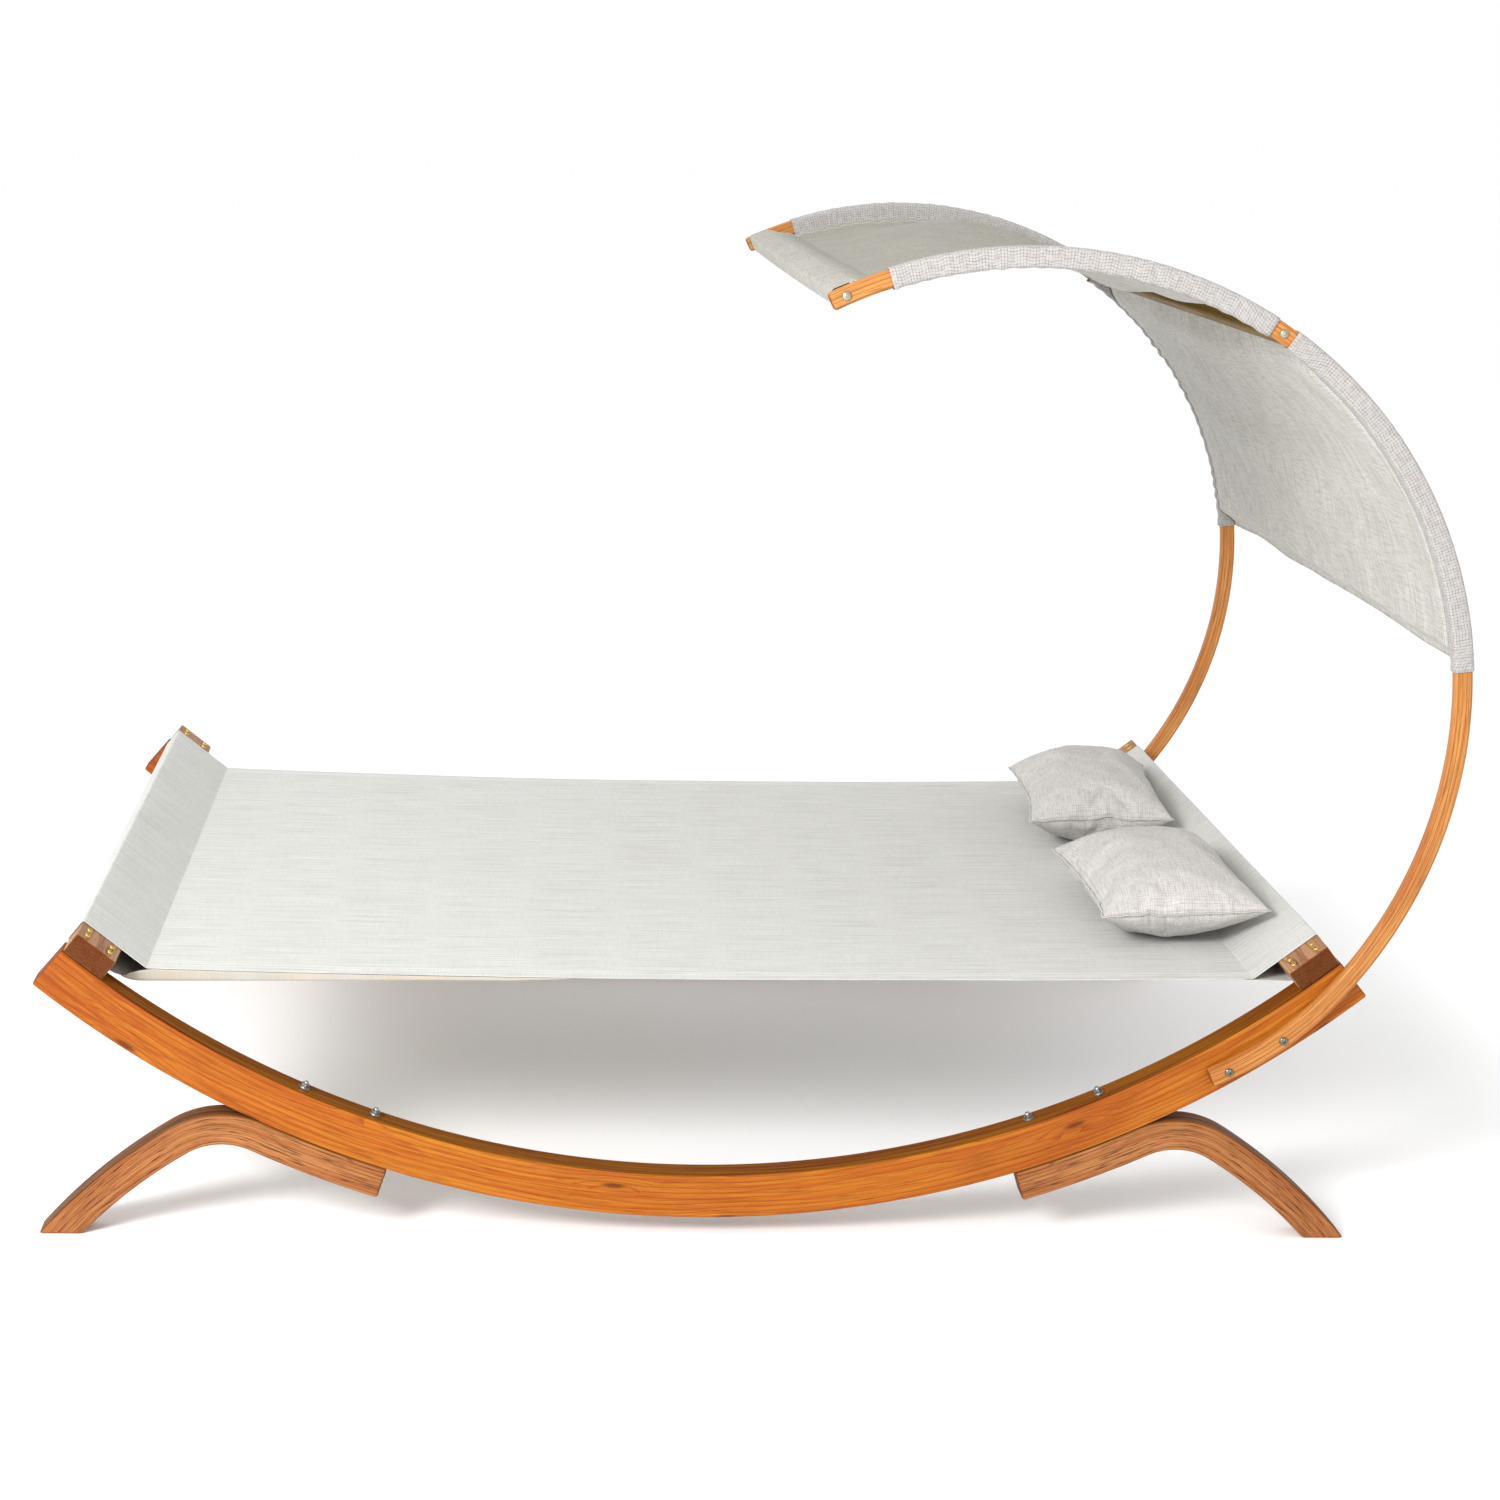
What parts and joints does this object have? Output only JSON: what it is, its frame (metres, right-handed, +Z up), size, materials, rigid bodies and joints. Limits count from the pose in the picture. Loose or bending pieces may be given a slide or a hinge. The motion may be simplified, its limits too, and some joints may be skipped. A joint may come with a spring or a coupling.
{
  "type": "canopied day bed",
  "caption": "Double fabric sling day bed on curved laminated side rails and bent legs, with loose pillows and a fabric canopy over the head end on C-shaped arms.",
  "frame": {"origin": "on the floor under the middle of the whole object's box", "axes": "+X towards the head end with the canopy, +Y across the bed to the left as seen from the foot end, +Z up"},
  "size_m": [2.2618, 1.4536, 1.6128],
  "materials": {
    "rail_wood": "oiled laminated pine, satin",
    "leg_wood": "oiled laminated hardwood, satin",
    "plank_wood": "dark stained hardwood, satin",
    "arm_wood": "light oiled laminated wood, satin",
    "sling_cloth": "off-white slubbed weave, matte",
    "canopy_cloth": "grey-green slubbed weave, matte",
    "pillow_linen": "light grey slubbed linen, matte",
    "zinc": "bright zinc plate",
    "yellow_zinc": "yellow zinc plate"
  },
  "bodies": {
    "bed_frame": {"side_rail_right": "rail_wood", "canopy_arm_right": "arm_wood", "leg_foot_right": "leg_wood", "leg_head_right": "leg_wood", "side_rail_left": "rail_wood", "canopy_arm_left": "arm_wood", "leg_foot_left": "leg_wood", "leg_head_left": "leg_wood", "end_plank_foot": "plank_wood", "end_plank_head": "plank_wood", "canopy_bar_front": "arm_wood", "canopy_bar_mid": "arm_wood", "sling": "sling_cloth", "canopy_cover": "canopy_cloth", "leg_bolt_foot_right_inner": "zinc", "leg_nut_foot_right_inner": "zinc", "leg_bolt_foot_right_outer": "zinc", "leg_nut_foot_right_outer": "zinc", "leg_bolt_head_right_inner": "zinc", "leg_nut_head_right_inner": "zinc", "leg_bolt_head_right_outer": "zinc", "leg_nut_head_right_outer": "zinc", "arm_bolt_right_lower": "zinc", "arm_nut_right_lower": "zinc", "arm_bolt_right_upper": "zinc", "arm_nut_right_upper": "zinc", "bar_bolt_front_right": "zinc", "bar_bolt_mid_right": "zinc", "plank_screw_foot_right_lower_inner": "yellow_zinc", "plank_screw_foot_right_lower_outer": "yellow_zinc", "plank_screw_foot_right_upper_inner": "yellow_zinc", "plank_screw_foot_right_upper_outer": "yellow_zinc", "plank_screw_head_right_lower_inner": "yellow_zinc", "plank_screw_head_right_lower_outer": "yellow_zinc", "plank_screw_head_right_upper_inner": "yellow_zinc", "plank_screw_head_right_upper_outer": "yellow_zinc", "leg_bolt_foot_left_inner": "zinc", "leg_nut_foot_left_inner": "zinc", "leg_bolt_foot_left_outer": "zinc", "leg_nut_foot_left_outer": "zinc", "leg_bolt_head_left_inner": "zinc", "leg_nut_head_left_inner": "zinc", "leg_bolt_head_left_outer": "zinc", "leg_nut_head_left_outer": "zinc", "arm_bolt_left_lower": "zinc", "arm_nut_left_lower": "zinc", "arm_bolt_left_upper": "zinc", "arm_nut_left_upper": "zinc", "bar_bolt_front_left": "zinc", "bar_bolt_mid_left": "zinc", "plank_screw_foot_left_lower_inner": "yellow_zinc", "plank_screw_foot_left_lower_outer": "yellow_zinc", "plank_screw_foot_left_upper_inner": "yellow_zinc", "plank_screw_foot_left_upper_outer": "yellow_zinc", "plank_screw_head_left_lower_inner": "yellow_zinc", "plank_screw_head_left_lower_outer": "yellow_zinc", "plank_screw_head_left_upper_inner": "yellow_zinc", "plank_screw_head_left_upper_outer": "yellow_zinc"},
    "pillow_right": {"pillow_right": "pillow_linen"},
    "pillow_left": {"pillow_left": "pillow_linen"}
  },
  "joints": [
    {"name": "pillow_right_lift", "type": "slide", "parent": "bed_frame", "child": "pillow_right", "axis": [0, 0, 1], "range_m": [0, 0.35]},
    {"name": "pillow_left_lift", "type": "slide", "parent": "bed_frame", "child": "pillow_left", "axis": [0, 0, 1], "range_m": [0, 0.35]}
  ]
}
